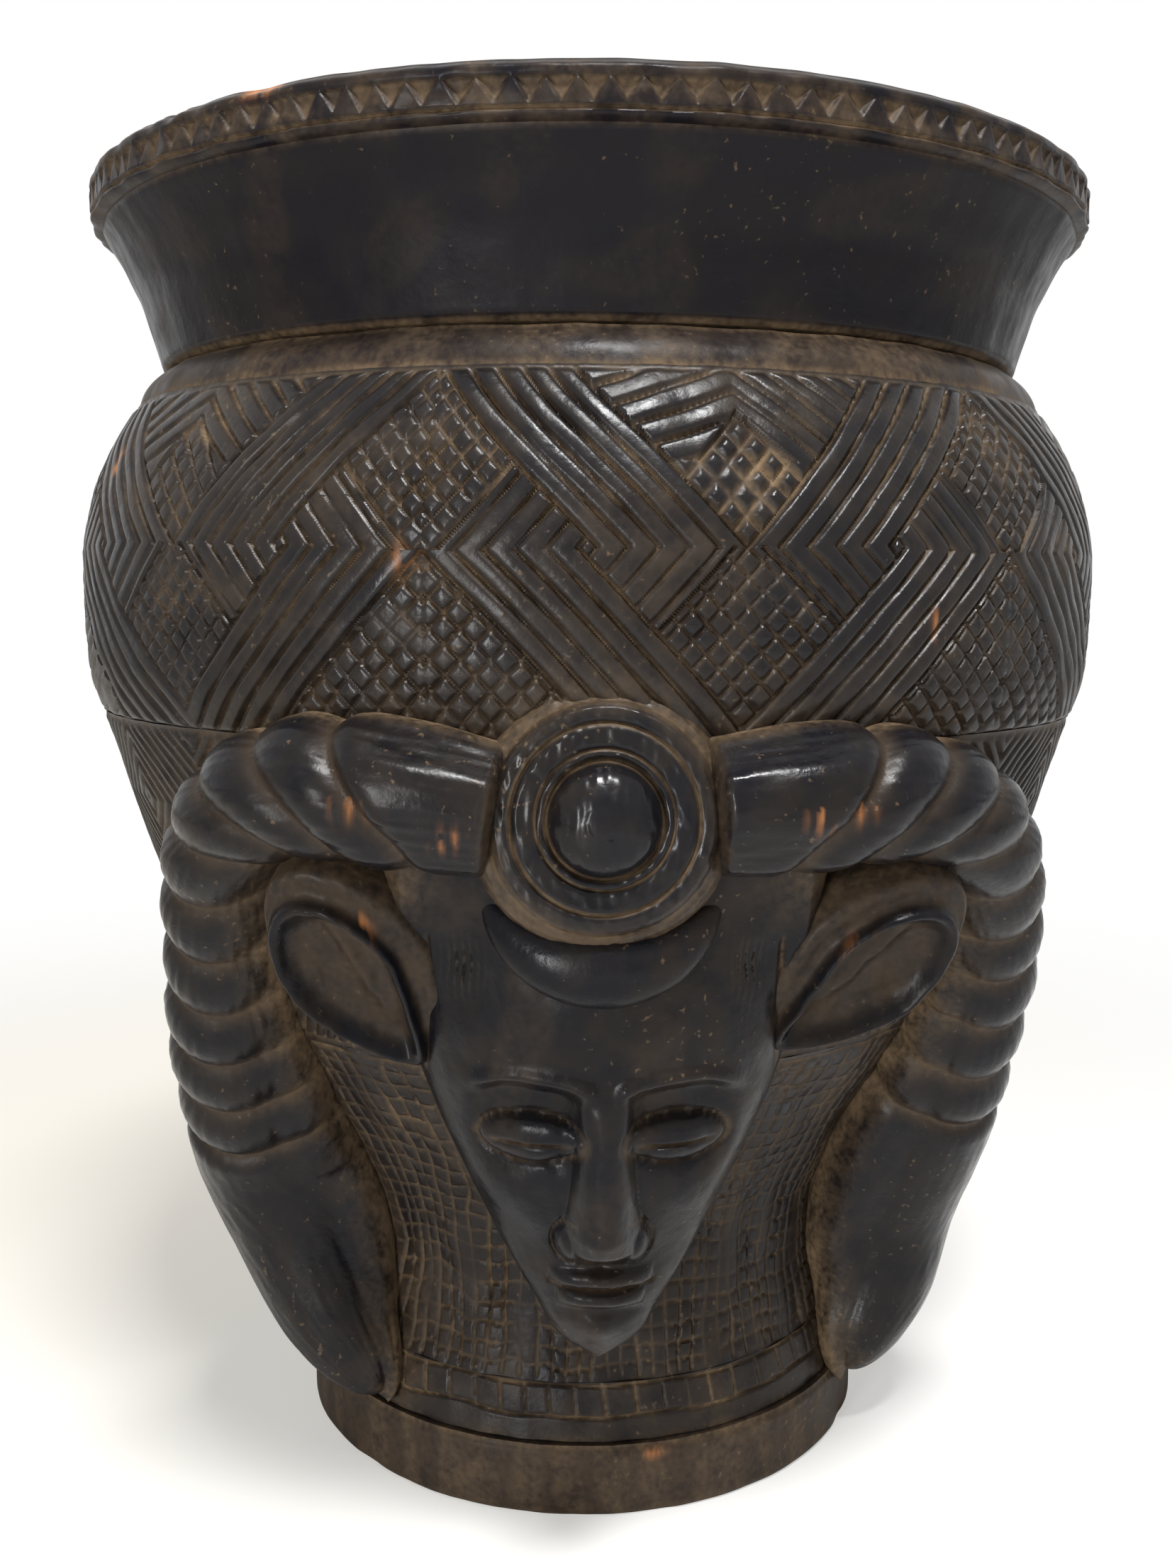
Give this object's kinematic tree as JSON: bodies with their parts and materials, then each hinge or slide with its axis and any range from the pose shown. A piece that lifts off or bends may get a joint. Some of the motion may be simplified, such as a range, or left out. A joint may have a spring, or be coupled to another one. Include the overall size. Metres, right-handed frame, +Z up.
{
  "type": "carved wooden drinking cup",
  "caption": "Footed wooden cup with a flared neck, an interlace-carved belly, and a ram-horned head in high relief on the front.",
  "frame": {"origin": "centre of the foot's underside, on the axis of the cup", "axes": "+Z up along the axis of the cup; the carved face looks along -Y; +X is to the right of someone who looks at the face"},
  "size_m": [0.1472, 0.1539, 0.18],
  "materials": {
    "plain_wood": "hand-polished, dark",
    "carved_wood": "carved, dark, with dust in the grooves",
    "relief_wood": "smoothed, dark, half polished",
    "horn_wood": "smoothed, dark, half polished"
  },
  "bodies": {
    "root": {"foot": "plain_wood", "ladder_border": "carved_wood", "lattice_wall": "carved_wood", "lower_band": "carved_wood", "belly_band": "carved_wood", "shoulder_ring": "plain_wood", "neck": "plain_wood", "rim": "plain_wood", "medallion": "relief_wood", "boss": "relief_wood", "crescent": "relief_wood", "head": "relief_wood", "nose": "relief_wood", "left_eye": "relief_wood", "right_eye": "relief_wood", "left_brow": "relief_wood", "right_brow": "relief_wood", "mouth": "relief_wood", "left_ear": "relief_wood", "right_ear": "relief_wood", "left_horn": "horn_wood", "left_horn_tip": "horn_wood", "right_horn": "horn_wood", "right_horn_tip": "horn_wood"}
  },
  "joints": []
}
